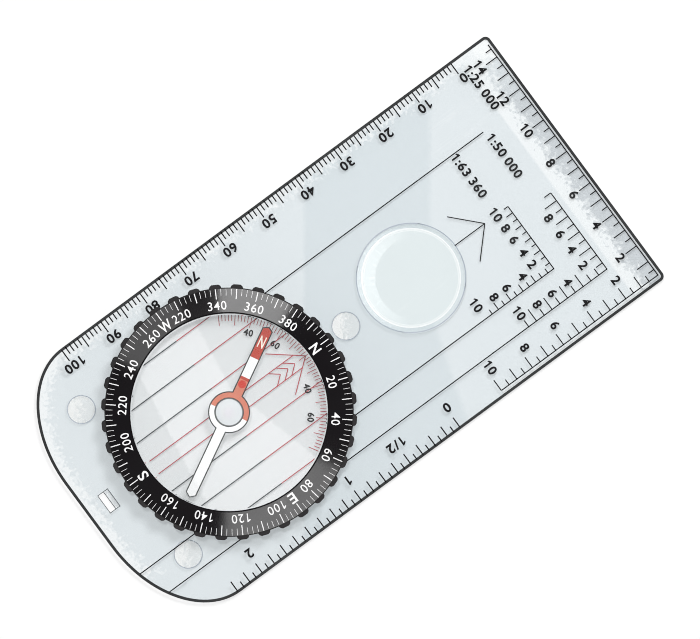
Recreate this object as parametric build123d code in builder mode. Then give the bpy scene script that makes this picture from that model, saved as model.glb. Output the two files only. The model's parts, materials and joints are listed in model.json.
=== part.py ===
"""Baseplate sighting compass: a clear plate with a lens, feet and a lanyard slot, a turning dial
that carries a sealed capsule, and a magnetic needle that swings on a pivot inside the capsule.

Millimetres, +Z up. The origin is under the middle of the plate, on the surface that the feet
stand on. +Y is the direction of travel.
"""

import os
from math import cos, radians, sin

from build123d import *

# ---- Baseplate ----
plate_length = 125.5
plate_width = 62.5
plate_thickness = 2.8
front_corner_radius = 1.2
rear_flat_width = 16.0  # straight middle of the rear edge
rear_sweep_rise = 16.1  # how far the curved rear corners run up the sides
side_bevel_width = 3.4  # sloping rim down both sides and round the rear, close to the map
front_bevel_width = 4.2
bevel_drop = 0.9
under_chamfer = 0.3

# ---- Lanyard slot, behind the dial ----
slot_back = 30.9  # from the capsule's axis to the middle of the slot
slot_length = 4.4
slot_width = 2.5
slot_ramp = 1.15  # part of the width that slopes down, for threading the cord

# ---- Magnifying lens, ahead of the dial ----
lens_ahead = 46.8  # from the capsule's axis to the lens
lens_radius = 11.25
lens_rim_width = 1.4
lens_ledge_width = 1.0
lens_rim_thickness = 2.0
lens_rim_rise = 0.18  # the rim's slope, up from the plate to the foot of the crown
lens_step = 0.12  # step at the foot of the crown
lens_crown = 1.1

# ---- Feet, pressed into pockets under the plate ----
foot_radius = 3.0
foot_proud = 0.5
foot_pocket_depth = 0.9
foot_edge = 0.2
front_foot_ahead = 30.05
rear_foot_back = 24.25
rear_foot_spread = 18.6

# ---- Capsule ----
capsule_from_rear = 36.2  # from the plate's rear edge to the capsule's axis
capsule_radius = 22.0
capsule_wall = 1.3
capsule_floor = 1.2
capsule_depth = 6.0  # liquid space between the floor and the lid
capsule_recess = 0.5  # the capsule's underside above the plate's underside
spigot_step = 0.8
window_radius = 20.45
lid_rim_thickness = 0.9
lid_raise = 0.4  # clear window, raised inside the dial's lip
lid_window_chamfer = 0.15
gasket_width = 0.5
gasket_thickness = 0.4
plug_radius = 0.8
boss_radius = 2.6
boss_top_radius = 1.6
boss_height = 1.2

# ---- Retaining ring, under the plate's lip ----
retainer_thickness = 0.6
retainer_lap = 1.4  # how far it reaches out under the plate's lip

# ---- Glide washer, between the plate and the dial ----
washer_width = 2.9
washer_thickness = 0.3
washer_sunk = 0.15

# ---- Dial and its grip ----
dial_lip_thickness = 0.8
dial_sleeve_wall = 1.6
dial_flange_overhang = 2.0
dial_flange_edge = 0.7
dial_slope = 0.95  # fall of the graduated face from the lip to the flange's edge
dial_window_bevel = 0.3
grip_rim = 0.2  # grip showing outside the dial's flange, between the lobes
grip_rise = 0.35  # grip standing up round the flange's edge
grip_lift = 0.2  # the grip's underside above the dial's underside
lobe_count = 36
lobe_height = 0.7
lobe_root_width = 2.6
lobe_top_width = 2.0
lobe_corner = 0.3  # corner taken off each side of a lobe's top
lobe_chamfer = 0.2

# ---- Pivot and needle ----
needle_heading = 28.5  # degrees anticlockwise from the direction of travel, at rest
needle_half_length = 19.4
needle_bar_width = 2.1
needle_thickness = 0.5
needle_ring_radius = 4.3
needle_ring_bore = 2.95
north_tip_width = 1.0
south_tip_width = 1.3
needle_tip_taper = 0.6
hub_flange_lap = 0.65
hub_flange_thickness = 0.6
hub_rise = 1.0
hub_crown = 0.5
jewel_radius = 0.95
jewel_height = 1.3
jewel_dish_radius = 0.6
jewel_dish_depth = 0.9
pin_radius = 0.3
pin_tip_length = 0.9
pin_depth = 1.5  # length held in the seat
seat_radius = 0.9
seat_collar_radius = 1.25
seat_collar_thickness = 0.3
seat_depth = 1.6  # length of the seat's shank in the capsule's floor and boss

# ---- Clearances ----
cement_film = 0.05  # where one clear piece is cemented to another
turning_clearance = 0.1  # between the dial's group and the plate, all round and up and down
washer_side_clearance = 0.2
lid_side_clearance = 0.1
pivot_clearance = 0.06  # between the pin's point and the jewel
needle_head_room = 0.3  # between the hub and the lid, so that the needle can't leave its pin

# ---- Levels, from the surface up ----
plate_underside = foot_proud
plate_top = plate_underside + plate_thickness
rear_edge_y = -plate_length / 2
capsule_y = rear_edge_y + capsule_from_rear

capsule_underside = plate_underside + capsule_recess
retainer_top = capsule_underside + retainer_thickness
capsule_step = retainer_top + cement_film
lip_underside = retainer_top + turning_clearance
floor_top = capsule_underside + capsule_floor
wall_top = floor_top + capsule_depth
lid_underside = wall_top + cement_film
lid_rim_top = lid_underside + lid_rim_thickness
dial_top = lid_rim_top + dial_lip_thickness
dial_flange_top = dial_top - dial_slope
dial_flange_underside = dial_flange_top - dial_flange_edge

washer_underside = plate_top - washer_sunk
washer_top = washer_underside + washer_thickness
dial_underside = washer_top + turning_clearance

hub_top = wall_top - needle_head_room
needle_top = hub_top - hub_rise
needle_underside = needle_top - needle_thickness
hub_underside = needle_underside - hub_flange_thickness
jewel_dish_top = hub_underside + jewel_dish_depth
pin_point = jewel_dish_top - pivot_clearance
boss_top = floor_top + boss_height
seat_top = boss_top + seat_collar_thickness

# ---- Radii, from the capsule outwards ----
plate_hole_radius = capsule_radius + turning_clearance
spigot_radius = capsule_radius - spigot_step
retainer_radius = plate_hole_radius + retainer_lap
retainer_pocket_radius = retainer_radius + turning_clearance
washer_bore_radius = plate_hole_radius + washer_side_clearance
washer_radius = washer_bore_radius + washer_width
dial_sleeve_radius = capsule_radius + dial_sleeve_wall
dial_flange_radius = dial_sleeve_radius + dial_flange_overhang
grip_radius = dial_flange_radius + grip_rim

capsule_section = Plane(origin=(0, capsule_y, 0), x_dir=(1, 0, 0), z_dir=(0, -1, 0))
capsule_axis = Axis((0, capsule_y, 0), (0, 0, 1))


def level_over_capsule(height, heading=0.0):
    """A level plane on the capsule's axis, with its own +Y turned by heading from the travel direction."""
    turn = radians(heading)
    return Plane(origin=(0, capsule_y, height), x_dir=(cos(turn), sin(turn), 0), z_dir=(0, 0, 1))


# ---- Baseplate: straight sides and front, swept rear corners ----
foot_places = {
    "front_foot": (0, front_foot_ahead),
    "rear_left_foot": (-rear_foot_spread, -rear_foot_back),
    "rear_right_foot": (rear_foot_spread, -rear_foot_back),
}
half_width = plate_width / 2
half_length = plate_length / 2
rear_sweep_run = half_width - rear_flat_width / 2

with BuildPart() as baseplate:
    with BuildSketch(Plane.XY.offset(plate_underside)) as plate_outline:
        with BuildLine():
            Line((0, -half_length), (rear_flat_width / 2, -half_length))
            EllipticalCenterArc(
                (rear_flat_width / 2, -half_length + rear_sweep_rise),
                rear_sweep_run,
                rear_sweep_rise,
                start_angle=270,
                arc_size=90,
            )
            Line((half_width, -half_length + rear_sweep_rise), (half_width, half_length))
            Line((half_width, half_length), (0, half_length))
            mirror(about=Plane.YZ)
        make_face()
    extrude(amount=plate_thickness)

    # Sloping rims: round the rear and down both sides, then across the front
    top_face = baseplate.faces().sort_by(Axis.Z)[-1]
    side_and_rear_edges = top_face.outer_wire().edges().sort_by(Axis.Y)[:-1]
    chamfer(side_and_rear_edges, side_bevel_width, bevel_drop, reference=top_face)
    with BuildSketch(Plane.YZ.offset(-half_width)):
        with BuildLine():
            Polyline(
                (half_length - front_bevel_width, plate_top),
                (half_length, plate_top - bevel_drop),
                (half_length, plate_top),
                close=True,
            )
        make_face()
    extrude(amount=plate_width, mode=Mode.SUBTRACT)

    # Rounded front corners, and the lower edge broken all round
    with BuildSketch(Plane.XY.offset(plate_underside)) as rounded_outline:
        add(plate_outline.sketch)
        fillet(rounded_outline.vertices().group_by(Axis.Y)[-1], front_corner_radius)
    extrude(amount=plate_thickness, mode=Mode.INTERSECT)
    chamfer(baseplate.faces().sort_by(Axis.Z)[0].outer_wire().edges(), under_chamfer)

    # Seat for the dial: hole, pocket for the retaining ring, recess for the washer
    with BuildSketch(level_over_capsule(plate_underside)):
        Circle(plate_hole_radius)
    extrude(amount=plate_thickness, mode=Mode.SUBTRACT)
    with BuildSketch(level_over_capsule(plate_underside)):
        Circle(retainer_pocket_radius)
    extrude(amount=lip_underside - plate_underside, mode=Mode.SUBTRACT)
    with BuildSketch(level_over_capsule(washer_underside)):
        Circle(washer_radius)
    extrude(amount=washer_sunk, mode=Mode.SUBTRACT)

    # Stepped seat for the lens
    lens_underside = plate_top - lens_rim_thickness
    with BuildSketch(level_over_capsule(lens_underside - cement_film)):
        with Locations((0, lens_ahead)):
            Circle(lens_radius + cement_film)
    extrude(amount=plate_thickness, mode=Mode.SUBTRACT)
    with BuildSketch(level_over_capsule(plate_underside)):
        with Locations((0, lens_ahead)):
            Circle(lens_radius - lens_ledge_width)
    extrude(amount=plate_thickness, mode=Mode.SUBTRACT)

    # Pockets for the feet
    with BuildSketch(level_over_capsule(plate_underside)):
        with Locations(*foot_places.values()):
            Circle(foot_radius + cement_film)
    extrude(amount=foot_pocket_depth, mode=Mode.SUBTRACT)

    # Lanyard slot, with a ramp on the side nearer the dial
    slot_rear_y = capsule_y - slot_back - slot_width / 2
    slot_front_y = slot_rear_y + slot_width
    with BuildSketch(Plane.YZ.offset(-slot_length / 2)):
        with BuildLine():
            Polyline(
                (slot_rear_y, plate_underside),
                (slot_front_y - slot_ramp, plate_underside),
                (slot_front_y, plate_top),
                (slot_rear_y, plate_top),
                close=True,
            )
        make_face()
    extrude(amount=slot_length, mode=Mode.SUBTRACT)
baseplate.part.label = "baseplate"

# ---- Lens: sloping rim in the plate's seat, a small step, then the crown ----
lens_axis = Axis((0, capsule_y + lens_ahead, 0), (0, 0, 1))
crown_foot_radius = lens_radius - lens_rim_width
crown_foot = plate_top + lens_rim_rise + lens_step
with BuildPart() as magnifier_lens:
    with BuildSketch(Plane(origin=(0, capsule_y + lens_ahead, 0), x_dir=(1, 0, 0), z_dir=(0, -1, 0))):
        with BuildLine():
            Polyline(
                (0, plate_top + lens_crown),
                (0, lens_underside),
                (lens_radius, lens_underside),
                (lens_radius, plate_top),
                (crown_foot_radius + lens_step, plate_top + lens_rim_rise),
                (crown_foot_radius, crown_foot),
            )
            TangentArc((0, plate_top + lens_crown), (crown_foot_radius, crown_foot), tangent=(1, 0))
        make_face()
    revolve(axis=lens_axis)
magnifier_lens.part.label = "magnifier_lens"

# ---- Feet ----
feet = []
for foot_name, foot_place in foot_places.items():
    with BuildPart() as foot:
        with BuildSketch(level_over_capsule(0)):
            with Locations(foot_place):
                Circle(foot_radius)
        extrude(amount=foot_proud + foot_pocket_depth - cement_film)
        chamfer(foot.edges().sort_by(Axis.Z)[0], foot_edge)
    foot.part.label = foot_name
    feet.append(foot)

# ---- Glide washer ----
with BuildPart() as glide_washer:
    with BuildSketch(level_over_capsule(washer_underside)):
        Circle(washer_radius)
        Circle(washer_bore_radius, mode=Mode.SUBTRACT)
    extrude(amount=washer_thickness)
glide_washer.part.label = "glide_washer"

# ---- Retaining ring, cemented to the capsule's spigot under the plate's lip ----
with BuildPart() as retaining_ring:
    with BuildSketch(level_over_capsule(capsule_underside)):
        Circle(retainer_radius)
        Circle(spigot_radius + cement_film, mode=Mode.SUBTRACT)
    extrude(amount=retainer_thickness)
retaining_ring.part.label = "retaining_ring"

# ---- Capsule base: cup with a boss for the pivot, a gasket groove and a filling hole ----
inner_radius = capsule_radius - capsule_wall
gasket_bore_radius = capsule_radius - (capsule_wall + gasket_width) / 2
gasket_radius = gasket_bore_radius + gasket_width
filling_plane = Plane(
    origin=(0, capsule_y, floor_top + capsule_depth / 2), x_dir=(1, 0, 0), z_dir=(0, -1, 0)
)

with BuildPart() as capsule_base:
    with BuildSketch(capsule_section):
        with BuildLine():
            Polyline(
                (0, capsule_underside),
                (spigot_radius, capsule_underside),
                (spigot_radius, capsule_step),
                (capsule_radius, capsule_step),
                (capsule_radius, wall_top),
                (gasket_radius, wall_top),
                (gasket_radius, wall_top - gasket_thickness),
                (gasket_bore_radius, wall_top - gasket_thickness),
                (gasket_bore_radius, wall_top),
                (inner_radius, wall_top),
                (inner_radius, floor_top),
                (boss_radius, floor_top),
                (boss_top_radius, boss_top),
                (0, boss_top),
                close=True,
            )
        make_face()
    revolve(axis=capsule_axis)
    with BuildSketch(level_over_capsule(boss_top - seat_depth)):
        Circle(seat_radius)
    extrude(amount=seat_depth, mode=Mode.SUBTRACT)
    with BuildSketch(filling_plane):
        Circle(plug_radius)
    extrude(amount=capsule_radius, mode=Mode.SUBTRACT)
capsule_base.part.label = "capsule_base"

# ---- Filler plug, trimmed flush with the capsule's wall inside and out ----
with BuildPart() as filler_plug:
    with BuildSketch(filling_plane):
        Circle(plug_radius)
    extrude(amount=capsule_radius)
    with BuildSketch(level_over_capsule(floor_top)):
        Circle(capsule_radius)
        Circle(inner_radius, mode=Mode.SUBTRACT)
    extrude(amount=capsule_depth, mode=Mode.INTERSECT)
filler_plug.part.label = "filler_plug"

# ---- Capsule gasket ----
with BuildPart() as capsule_gasket:
    with BuildSketch(level_over_capsule(wall_top - gasket_thickness)):
        Circle(gasket_radius)
        Circle(gasket_bore_radius, mode=Mode.SUBTRACT)
    extrude(amount=gasket_thickness + cement_film)
capsule_gasket.part.label = "capsule_gasket"

# ---- Capsule lid: rim under the dial's lip, flat window raised inside it ----
lid_window_radius = window_radius - lid_side_clearance
lid_window_top = lid_rim_top + lid_raise
with BuildPart() as capsule_lid:
    with BuildSketch(capsule_section):
        with BuildLine():
            Polyline(
                (0, lid_underside),
                (capsule_radius, lid_underside),
                (capsule_radius, lid_rim_top),
                (lid_window_radius, lid_rim_top),
                (lid_window_radius, lid_window_top - lid_window_chamfer),
                (lid_window_radius - lid_window_chamfer, lid_window_top),
                (0, lid_window_top),
                close=True,
            )
        make_face()
    revolve(axis=capsule_axis)
capsule_lid.part.label = "capsule_lid"

# ---- Dial: sleeve on the capsule, lip over the lid, sloping face for the degrees ----
with BuildPart() as dial_ring:
    with BuildSketch(capsule_section):
        with BuildLine():
            Polyline(
                (capsule_radius, dial_underside),
                (dial_sleeve_radius, dial_underside),
                (dial_sleeve_radius, dial_flange_underside),
                (dial_flange_radius, dial_flange_underside),
                (dial_flange_radius, dial_flange_top),
                (window_radius + dial_window_bevel, dial_top),
                (window_radius, dial_top - dial_window_bevel),
                (window_radius, lid_rim_top),
                (capsule_radius, lid_rim_top),
                close=True,
            )
        make_face()
    revolve(axis=capsule_axis)
dial_ring.part.label = "dial_ring"

# ---- Grip: ring of soft lobes round the dial ----
with BuildSketch() as lobe:
    with BuildLine():
        Polyline(
            (-lobe_root_width / 2, grip_radius - lobe_height),
            (-lobe_root_width / 2, grip_radius),
            (-lobe_top_width / 2, grip_radius + lobe_height),
            (lobe_top_width / 2, grip_radius + lobe_height),
            (lobe_root_width / 2, grip_radius),
            (lobe_root_width / 2, grip_radius - lobe_height),
            close=True,
        )
    make_face()
    chamfer(lobe.vertices().group_by(Axis.Y)[-1], lobe_corner)

grip_underside = dial_underside + grip_lift
grip_top = dial_flange_underside + grip_rise
with BuildPart() as grip_ring:
    with BuildSketch(level_over_capsule(grip_underside)):
        Circle(grip_radius)
        with PolarLocations(0, lobe_count):
            add(lobe.sketch)
    extrude(amount=grip_top - grip_underside)
    chamfer(grip_ring.faces().sort_by(Axis.Z)[-1].outer_wire().edges(), lobe_chamfer)
    with BuildSketch(level_over_capsule(grip_underside)):
        Circle(dial_sleeve_radius)
    extrude(amount=grip_top - grip_underside, mode=Mode.SUBTRACT)
    with BuildSketch(level_over_capsule(dial_flange_underside)):
        Circle(dial_flange_radius)
    extrude(amount=grip_rise, mode=Mode.SUBTRACT)
grip_ring.part.label = "grip_ring"

# ---- Pivot: seat in the boss, pointed pin in the seat ----
pin_foot = seat_top - pin_depth
with BuildPart() as pivot_seat:
    with BuildSketch(capsule_section):
        with BuildLine():
            Polyline(
                (0, boss_top - seat_depth),
                (seat_radius, boss_top - seat_depth),
                (seat_radius, boss_top),
                (seat_collar_radius, boss_top),
                (seat_collar_radius, seat_top),
                (pin_radius, seat_top),
                (pin_radius, pin_foot),
                (0, pin_foot),
                close=True,
            )
        make_face()
    revolve(axis=capsule_axis)
pivot_seat.part.label = "pivot_seat"

with BuildPart() as pivot_pin:
    with BuildSketch(capsule_section):
        with BuildLine():
            Polyline(
                (0, pin_foot),
                (pin_radius, pin_foot),
                (pin_radius, pin_point - pin_tip_length),
                (0, pin_point),
                close=True,
            )
        make_face()
    revolve(axis=capsule_axis)
pivot_pin.part.label = "pivot_pin"

# ---- Needle: flat magnet with a ring eye, chamfered tips ----
with BuildPart() as needle:
    with BuildSketch(level_over_capsule(needle_underside, needle_heading)):
        with BuildLine():
            Polyline(
                (needle_bar_width / 2, 0),
                (needle_bar_width / 2, needle_half_length - needle_tip_taper),
                (north_tip_width / 2, needle_half_length),
                (-north_tip_width / 2, needle_half_length),
                (-needle_bar_width / 2, needle_half_length - needle_tip_taper),
                (-needle_bar_width / 2, -needle_half_length + needle_tip_taper),
                (-south_tip_width / 2, -needle_half_length),
                (south_tip_width / 2, -needle_half_length),
                (needle_bar_width / 2, -needle_half_length + needle_tip_taper),
                close=True,
            )
        make_face()
        Circle(needle_ring_radius)
        Circle(needle_ring_bore, mode=Mode.SUBTRACT)
    extrude(amount=needle_thickness)
needle.part.label = "needle"

# ---- Hub: clear cap pressed into the ring, with the jewel in its bore ----
hub_flange_radius = needle_ring_bore + hub_flange_lap
jewel_top = hub_underside + jewel_height
with BuildPart() as needle_hub:
    with BuildSketch(capsule_section):
        with BuildLine():
            Polyline(
                (0, hub_top),
                (0, jewel_top),
                (jewel_radius, jewel_top),
                (jewel_radius, hub_underside),
                (hub_flange_radius, hub_underside),
                (hub_flange_radius, needle_underside),
                (needle_ring_bore, needle_underside),
                (needle_ring_bore, hub_top - hub_crown),
            )
            TangentArc((0, hub_top), (needle_ring_bore, hub_top - hub_crown), tangent=(1, 0))
        make_face()
    revolve(axis=capsule_axis)
needle_hub.part.label = "needle_hub"

with BuildPart() as jewel_bearing:
    with BuildSketch(capsule_section):
        with BuildLine():
            Polyline(
                (0, jewel_dish_top),
                (jewel_dish_radius, hub_underside),
                (jewel_radius, hub_underside),
                (jewel_radius, jewel_top),
                (0, jewel_top),
                close=True,
            )
        make_face()
    revolve(axis=capsule_axis)
jewel_bearing.part.label = "jewel_bearing"

# ---- One STEP file for each piece ----
pieces = [
    baseplate,
    magnifier_lens,
    *feet,
    glide_washer,
    retaining_ring,
    capsule_base,
    filler_plug,
    capsule_gasket,
    capsule_lid,
    dial_ring,
    grip_ring,
    pivot_seat,
    pivot_pin,
    needle,
    needle_hub,
    jewel_bearing,
]
os.makedirs("parts", exist_ok=True)
for piece in pieces:
    export_step(piece.part, f"parts/{piece.part.label}.step")
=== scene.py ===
import json
from functools import reduce
from math import cos, pi, radians, sin, tan

import bpy
import numpy as np
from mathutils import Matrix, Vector

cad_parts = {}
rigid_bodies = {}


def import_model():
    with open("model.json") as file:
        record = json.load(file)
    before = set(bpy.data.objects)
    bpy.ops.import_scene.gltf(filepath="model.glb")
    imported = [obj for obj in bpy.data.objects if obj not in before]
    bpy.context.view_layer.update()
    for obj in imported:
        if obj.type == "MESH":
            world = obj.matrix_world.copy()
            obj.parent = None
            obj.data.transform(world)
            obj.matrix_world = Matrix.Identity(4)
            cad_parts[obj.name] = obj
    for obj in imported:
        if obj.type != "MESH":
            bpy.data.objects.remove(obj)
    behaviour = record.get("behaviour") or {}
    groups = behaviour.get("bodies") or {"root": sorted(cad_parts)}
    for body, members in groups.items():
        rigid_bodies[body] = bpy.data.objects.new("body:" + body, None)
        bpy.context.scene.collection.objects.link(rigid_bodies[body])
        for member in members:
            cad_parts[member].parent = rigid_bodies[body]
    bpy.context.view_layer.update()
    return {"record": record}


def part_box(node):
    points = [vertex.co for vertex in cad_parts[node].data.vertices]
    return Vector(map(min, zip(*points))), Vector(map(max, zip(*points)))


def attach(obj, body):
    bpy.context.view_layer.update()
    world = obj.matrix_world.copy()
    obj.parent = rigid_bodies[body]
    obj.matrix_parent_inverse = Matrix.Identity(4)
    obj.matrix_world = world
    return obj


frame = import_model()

mm = 0.001

# Places read from the CAD, in metres
plateLow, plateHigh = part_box("baseplate")
_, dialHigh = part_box("dial_ring")
cupLow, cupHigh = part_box("capsule_base")
_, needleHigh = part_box("needle")
lensLow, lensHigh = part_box("magnifier_lens")
dialX = (cupLow[0] + cupHigh[0]) / 2
dialY = (cupLow[1] + cupHigh[1]) / 2
print("frame loaded, capsule axis at", round(dialX / mm, 2), round(dialY / mm, 2), "mm")


# Flat shapes: points and triangles in mm, from the capsule's axis, with +Y ahead

# A grid of rows by columns, two triangles to a cell; a closed grid joins its last row to its first
def gridTriangles(rows, columns, closed=False):
    row, column = np.meshgrid(np.arange(rows - (not closed)), np.arange(columns - 1), indexing="ij")
    here = (row * columns + column).ravel()
    ahead = (((row + 1) % rows) * columns + column).ravel()
    return np.concatenate(
        [np.stack([here, ahead, ahead + 1], 1), np.stack([here, ahead + 1, here + 1], 1)]
    )


# Strokes: each runs straight from its start to its end and reaches half its width to either side
def strokes(starts, ends, width, cuts=1):
    starts, ends = np.atleast_2d(starts).astype(float), np.atleast_2d(ends).astype(float)
    along = ends - starts
    side = np.stack([-along[:, 1], along[:, 0]], 1) / np.linalg.norm(along, axis=1)[:, None] * width / 2
    share = np.linspace(0, 1, cuts + 1)[None, :, None]
    middle = starts[:, None, :] + along[:, None, :] * share
    points = np.stack([middle + side[:, None], middle - side[:, None]], 2)
    cells = gridTriangles(cuts + 1, 2)[:, ::-1]
    count = points.shape[1] * 2
    triangles = (np.arange(len(starts))[:, None, None] * count + cells[None]).reshape(-1, 3)
    return facingUp(points.reshape(-1, 2), triangles)


# The way that each bearing points, clockwise from ahead: (sin b, cos b)
def outwards(bearings):
    turn = np.radians(bearings)
    return np.stack([np.sin(turn), np.cos(turn)], -1)


# Radial strokes at the bearings given
def spokes(bearings, inner, outer, width):
    return strokes(outwards(bearings) * inner, outwards(bearings) * outer, width)


# Part of a ring: radius runs across it and bearing, clockwise from ahead, runs along it
def ringBand(inner, outer, fromBearing, toBearing, steps):
    bearings = np.linspace(fromBearing, toBearing, steps + 1)
    whole = abs(toBearing - fromBearing) >= 360
    bearings = bearings[:-1] if whole else bearings
    points = outwards(bearings)[:, None, :] * np.array([inner, outer])[None, :, None]
    return facingUp(points.reshape(-1, 2), gridTriangles(len(bearings), 2, whole))


# A closed band that follows a path: each edge is the path moved sideways along its own normal
def pathBand(path, inner, outer):
    along = np.roll(path, -1, 0) - np.roll(path, 1, 0)
    normal = np.stack([along[:, 1], -along[:, 0]], 1) / np.linalg.norm(along, axis=1)[:, None]
    points = np.stack([path + normal * inner, path + normal * outer], 1)
    return facingUp(points.reshape(-1, 2), gridTriangles(len(path), 2, True))


# Turns every triangle anticlockwise, so that its face looks up
def facingUp(points, triangles):
    a, b, c = (points[triangles[:, k]] for k in range(3))
    turn = (b[:, 0] - a[:, 0]) * (c[:, 1] - a[:, 1]) - (b[:, 1] - a[:, 1]) * (c[:, 0] - a[:, 0])
    triangles = np.where((turn < 0)[:, None], triangles[:, ::-1], triangles)
    return points, triangles


# Several flat shapes as one: each shape's triangles count on from the points before it
def together(*flats):
    offsets = np.cumsum([0] + [len(points) for points, _ in flats[:-1]])
    return (
        np.concatenate([points for points, _ in flats]),
        np.concatenate([triangles + offset for (_, triangles), offset in zip(flats, offsets)]),
    )


# A flat shape turned clockwise by a bearing and then moved: (x cos b + y sin b, y cos b - x sin b)
def turned(flat, bearing, place=(0, 0)):
    points, triangles = flat
    turn = radians(bearing)
    x, y = points[:, 0], points[:, 1]
    turnedPoints = np.stack([x * cos(turn) + y * sin(turn), y * cos(turn) - x * sin(turn)], 1)
    return turnedPoints + place, triangles


# Points from one row of x and one of y; a single number serves the whole row
def columns(x, y):
    return np.stack(np.broadcast_arrays(np.asarray(x, float), np.asarray(y, float)), -1).reshape(-1, 2)


# Lettering, in letter sizes
lettering = {
    "bold": 0.030,  # how far a letter's outline is moved out
    "medium": 0.018,
    "light": 0.004,
    "height": 0.654,  # of a letter whose outline isn't moved
    "stretch": 1.06,
    "curveSteps": 4,
    "digitStep": 0.56,
    "step": {":": 0.27, " ": 0.24, "/": 0.40, "N": 0.80, "E": 0.60, "S": 0.60, "W": 1.0},
    "gap": {":": 0.0, "/": 0.02},
}
# The figure one: its stem between two sides, and a flag that slants down to its tip
figureOne = {
    "right": 0.32, "stem": 0.245, "top": 0.682, "shoulder": 0.1, "tip": 0.06, "fall": 0.14,
    "flagDepth": 0.08, "flagGrowth": 1.5,
}
lettersMade = {}


# Seven corners and five triangles, moved out by the weight
def drawOne(weight):
    right, stem, tip = figureOne["right"] + weight, figureOne["stem"] - weight, figureOne["tip"]
    low, high, fall = -weight, figureOne["top"] + weight, figureOne["fall"]
    depth = figureOne["flagDepth"] + figureOne["flagGrowth"] * weight
    points = np.array([
        (right, low), (right, high), (right - figureOne["shoulder"], high), (tip, high - fall),
        (tip, high - fall - depth), (stem, high - fall / 2 - depth), (stem, low),
    ])
    return points, np.array([(6, 0, 5), (0, 1, 5), (1, 2, 5), (2, 3, 4), (2, 4, 5)])


# A letter of Blender's own font, filled flat
def drawSign(sign, weight):
    curve = bpy.data.curves.new("letter", "FONT")
    curve.body, curve.size, curve.offset, curve.resolution_u = sign, 1.0, weight, lettering["curveSteps"]
    holder = bpy.data.objects.new("letter", curve)
    flat = bpy.data.meshes.new_from_object(holder)
    points = np.empty(len(flat.vertices) * 3)
    flat.vertices.foreach_get("co", points)
    flat.calc_loop_triangles()
    triangles = np.empty(len(flat.loop_triangles) * 3, dtype=np.int32)
    flat.loop_triangles.foreach_get("vertices", triangles)
    bpy.data.objects.remove(holder)
    bpy.data.curves.remove(curve)
    bpy.data.meshes.remove(flat)
    return points.reshape(-1, 3)[:, :2], triangles.reshape(-1, 3)


# One letter, kept for the next time that it is wanted
def letter(sign, weight):
    if (sign, weight) not in lettersMade:
        drawn = drawOne(weight) if sign == "1" else drawSign(sign, weight)
        lettersMade[sign, weight] = facingUp(*drawn)
    return lettersMade[sign, weight]


# A word centred on its place, its letters standing along the bearing given
def word(text, place, capHeight, bearing=0.0, weight=lettering["bold"], stretch=lettering["stretch"]):
    pieces, pen = [], 0.0
    for sign in text:
        if sign != " ":
            points, triangles = letter(sign, weight)
            pieces.append((points + [pen + lettering["gap"].get(sign, 0.0), 0], triangles))
        pen += lettering["step"].get(sign, lettering["digitStep"])
    points, triangles = together(*pieces)
    low, high = points.min(0), points.max(0)
    size = capHeight / (lettering["height"] + 2 * weight)
    points = (points - (low + high) / 2) * [size * stretch, size]
    return turned((points, triangles), bearing, place)


# Printed pieces: how deep ink sinks into its surface, how high it stands, and the step where strokes cross
inkSink, inkRise, inkStep = 0.006, 0.022, 0.002


# A slab: the flat shape lifted to the surface's height, the same shape below it, and walls between.
# Where strokes of "each" points cross, every next stroke lies a little higher
def printOn(name, flat, height, body, material, rise=inkRise, each=0):
    points, triangles = flat
    level = height(points[:, 0], points[:, 1])
    if each:
        level = level + np.arange(len(points)) // each * inkStep
    top = np.column_stack([points, level + rise])
    bottom = np.column_stack([points, level - inkSink])
    edges = np.concatenate([triangles[:, [0, 1]], triangles[:, [1, 2]], triangles[:, [2, 0]]])
    count = len(points)
    key = edges.min(1).astype(np.int64) * count + edges.max(1)
    _, first, uses = np.unique(key, return_index=True, return_counts=True)
    rim = edges[first[uses == 1]]
    a, b = rim[:, 0], rim[:, 1]
    walls = np.concatenate([np.stack([b, a, a + count], 1), np.stack([b, a + count, b + count], 1)])
    faces = np.concatenate([triangles, triangles[:, ::-1] + count, walls])
    place = np.concatenate([top, bottom]) * mm + [dialX, dialY, 0]
    return addPiece(name, place, faces, body, material)


# A mesh of triangles with flat faces, as a piece that rides on its body
def addPiece(name, points, faces, body, material):
    mesh = bpy.data.meshes.new(name)
    mesh.vertices.add(len(points))
    mesh.vertices.foreach_set("co", np.asarray(points, dtype=np.float32).ravel())
    mesh.loops.add(faces.size)
    mesh.loops.foreach_set("vertex_index", faces.astype(np.int32).ravel())
    mesh.polygons.add(len(faces))
    mesh.polygons.foreach_set("loop_start", np.arange(0, faces.size, faces.shape[1], dtype=np.int32))
    mesh.update(calc_edges=True)
    mesh.validate()
    mesh.shade_flat()
    mesh.materials.append(material)
    piece = bpy.data.objects.new(name, mesh)
    bpy.context.scene.collection.objects.link(piece)
    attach(piece, body)
    return piece


# The plate's shape, in mm from the capsule's axis
plateForm = {"sideBevel": 3.4, "frontBevel": 4.2, "bevelDrop": 0.9}
outline = {"rearFlat": 8.0, "sweepRise": 16.1, "cornerRadius": 1.2, "lineWidth": 0.6, "inset": 0.005}
slotForm = {
    "halfWidth": 2.2, "rear": -32.15, "front": -29.65, "line": 0.14, "rampFoot": -30.8, "rampRun": 1.15,
    "foldGap": 0.01,
}
halfWidth = plateHigh[0] / mm
frontEdge = (plateHigh[1] - dialY) / mm
rearEdge = (plateLow[1] - dialY) / mm
plateTop = plateHigh[2] / mm
lensY = (lensLow[1] + lensHigh[1]) / 2 / mm - dialY / mm
footPlaces = []
for name in ("front_foot", "rear_left_foot", "rear_right_foot"):
    low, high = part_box(name)
    footPlaces.append(((low[0] + high[0]) / 2 / mm - dialX / mm, (low[1] + high[1]) / 2 / mm - dialY / mm))
footRadius, footTop = (high[0] - low[0]) / 2 / mm, high[2] / mm


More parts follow.
